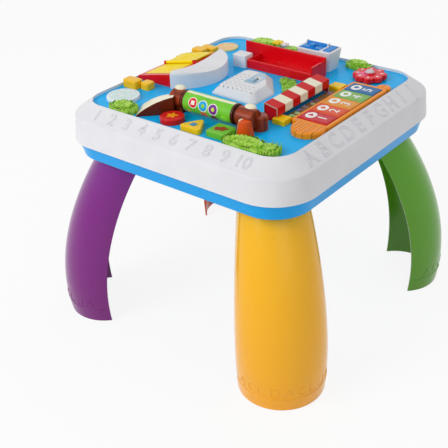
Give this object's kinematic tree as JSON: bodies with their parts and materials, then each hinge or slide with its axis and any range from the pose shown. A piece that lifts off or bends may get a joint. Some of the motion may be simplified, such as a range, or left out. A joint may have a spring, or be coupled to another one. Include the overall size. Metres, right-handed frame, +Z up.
{
  "type": "musical activity table",
  "caption": "Square toddler activity table on splayed channel legs, with a roller, piano keys, shape buttons, flip page, chute, spinner and lidded box on a rimmed deck.",
  "frame": {"origin": "on the floor, below the middle of the table", "axes": "+Z up; -Y is the side with the numerals, the roller and the shape buttons; +X is the side with the piano keys"},
  "size_m": [0.4878, 0.4878, 0.392],
  "materials": {
    "white_shell": "satin",
    "deck_blue": "satin",
    "shell_blue": "satin",
    "purple": "glossy",
    "yellow": "glossy",
    "green": "glossy",
    "orange_red": "glossy",
    "steel": "brushed",
    "red": "glossy",
    "button_yellow": "glossy",
    "button_green": "glossy",
    "silicone": "matte",
    "roller_print": "glossy",
    "brown": "glossy",
    "cream": "satin",
    "orange": "glossy",
    "leaf_green": "satin",
    "grey_nylon": "matte",
    "key_crimson": "glossy",
    "key_orange": "glossy",
    "key_gold": "glossy",
    "key_green": "glossy",
    "key_blue": "glossy",
    "stripes": "satin",
    "print_paper": "satin",
    "gold": "glossy",
    "lid_blue": "glossy",
    "black_parts": "matte",
    "board_green": "satin",
    "cell": "satin"
  },
  "bodies": {
    "table": {"rim_frame": "white_shell", "book_wall": "white_shell", "chute_block": "white_shell", "tower_box": "white_shell", "speaker_cover": "white_shell", "disc_left": "white_shell", "deck_panel": "deck_blue", "lower_shell": "shell_blue", "leg_front_left": "purple", "leg_front_right": "yellow", "leg_back_right": "green", "leg_back_left": "orange_red", "leg_screws": "steel", "shell_screws": "steel", "page_pin": "steel", "key_axle": "steel", "battery_clips": "steel", "book_rest": "red", "chute_body": "red", "page_left": "button_yellow", "stall_posts": "button_yellow", "button_pads": "silicone", "key_board": "silicone", "log_left": "brown", "log_right": "brown", "ramp": "brown", "oval_caps": "cream", "disc_back": "cream", "log_paw": "orange", "page_right": "orange", "piano_frame": "orange", "fan_ends": "orange", "grass_left": "leaf_green", "grass_front": "leaf_green", "far_bushes": "leaf_green", "leaf_patch": "leaf_green", "roller_axle": "grey_nylon", "spinner_stem": "grey_nylon", "battery_case": "grey_nylon", "awning": "stripes", "picture_strip": "print_paper", "gold_blocks": "gold", "loudspeaker": "black_parts", "circuit_board": "board_green", "batteries": "cell"},
    "roller": {"roller_sleeve": "roller_print"},
    "key_one": {"key_1": "key_crimson"},
    "key_two": {"key_2": "key_orange"},
    "key_three": {"key_3": "key_gold"},
    "key_four": {"key_4": "key_green"},
    "key_five": {"key_5": "key_blue"},
    "circle_button": {"button_circle": "red"},
    "triangle_button": {"button_triangle": "button_yellow"},
    "square_button": {"button_square": "button_green"},
    "page": {"page_leaf": "button_yellow"},
    "lid": {"tower_lid": "lid_blue"},
    "flower": {"spinner_flower": "red"},
    "switch_knob": {"mode_switch": "lid_blue"},
    "door": {"battery_door": "shell_blue", "door_screw": "steel"}
  },
  "joints": [
    {"name": "roller_spin", "type": "hinge", "parent": "table", "child": "roller", "pos_m": [0.02, -0.118, 0.373], "axis": [1, 0, 0], "continuous": true},
    {"name": "key_one_press", "type": "hinge", "parent": "table", "child": "key_one", "pos_m": [0.1266, -0.047, 0.3605], "axis": [0, 1, 0], "range_deg": [0, 3], "stiffness_Nm_per_rad": 0.05, "springref_deg": -5.73},
    {"name": "key_two_press", "type": "hinge", "parent": "table", "child": "key_two", "pos_m": [0.1266, -0.017, 0.3605], "axis": [0, 1, 0], "range_deg": [0, 3], "stiffness_Nm_per_rad": 0.05, "springref_deg": -5.73},
    {"name": "key_three_press", "type": "hinge", "parent": "table", "child": "key_three", "pos_m": [0.1266, 0.013, 0.3605], "axis": [0, 1, 0], "range_deg": [0, 3], "stiffness_Nm_per_rad": 0.05, "springref_deg": -5.73},
    {"name": "key_four_press", "type": "hinge", "parent": "table", "child": "key_four", "pos_m": [0.1266, 0.043, 0.3605], "axis": [0, 1, 0], "range_deg": [0, 3], "stiffness_Nm_per_rad": 0.05, "springref_deg": -5.73},
    {"name": "key_five_press", "type": "hinge", "parent": "table", "child": "key_five", "pos_m": [0.1266, 0.073, 0.3605], "axis": [0, 1, 0], "range_deg": [0, 3], "stiffness_Nm_per_rad": 0.05, "springref_deg": -5.73},
    {"name": "circle_press", "type": "slide", "parent": "table", "child": "circle_button", "axis": [0, 0, -1], "range_m": [0, 0.003], "stiffness_N_per_m": 200, "springref_m": -0.003},
    {"name": "triangle_press", "type": "slide", "parent": "table", "child": "triangle_button", "axis": [0, 0, -1], "range_m": [0, 0.003], "stiffness_N_per_m": 200, "springref_m": -0.003},
    {"name": "square_press", "type": "slide", "parent": "table", "child": "square_button", "axis": [0, 0, -1], "range_m": [0, 0.003], "stiffness_N_per_m": 200, "springref_m": -0.003},
    {"name": "page_flip", "type": "hinge", "parent": "table", "child": "page", "pos_m": [-0.1416, -0.002, 0.37128], "axis": [0.9781, 0, 0.2079], "range_deg": [0, 178]},
    {"name": "lid_hinge", "type": "hinge", "parent": "table", "child": "lid", "pos_m": [0.021, 0.1472, 0.388], "axis": [-1, 0, 0], "range_deg": [0, 100]},
    {"name": "flower_spin", "type": "hinge", "parent": "table", "child": "flower", "pos_m": [0.124, 0.133, 0.36], "axis": [0, 0, 1], "continuous": true},
    {"name": "mode_slide", "type": "slide", "parent": "table", "child": "switch_knob", "axis": [0, 1, 0], "range_m": [0, 0.012]},
    {"name": "door_off", "type": "slide", "parent": "table", "child": "door", "axis": [0, 0, -1], "range_m": [0, 0.03]}
  ]
}
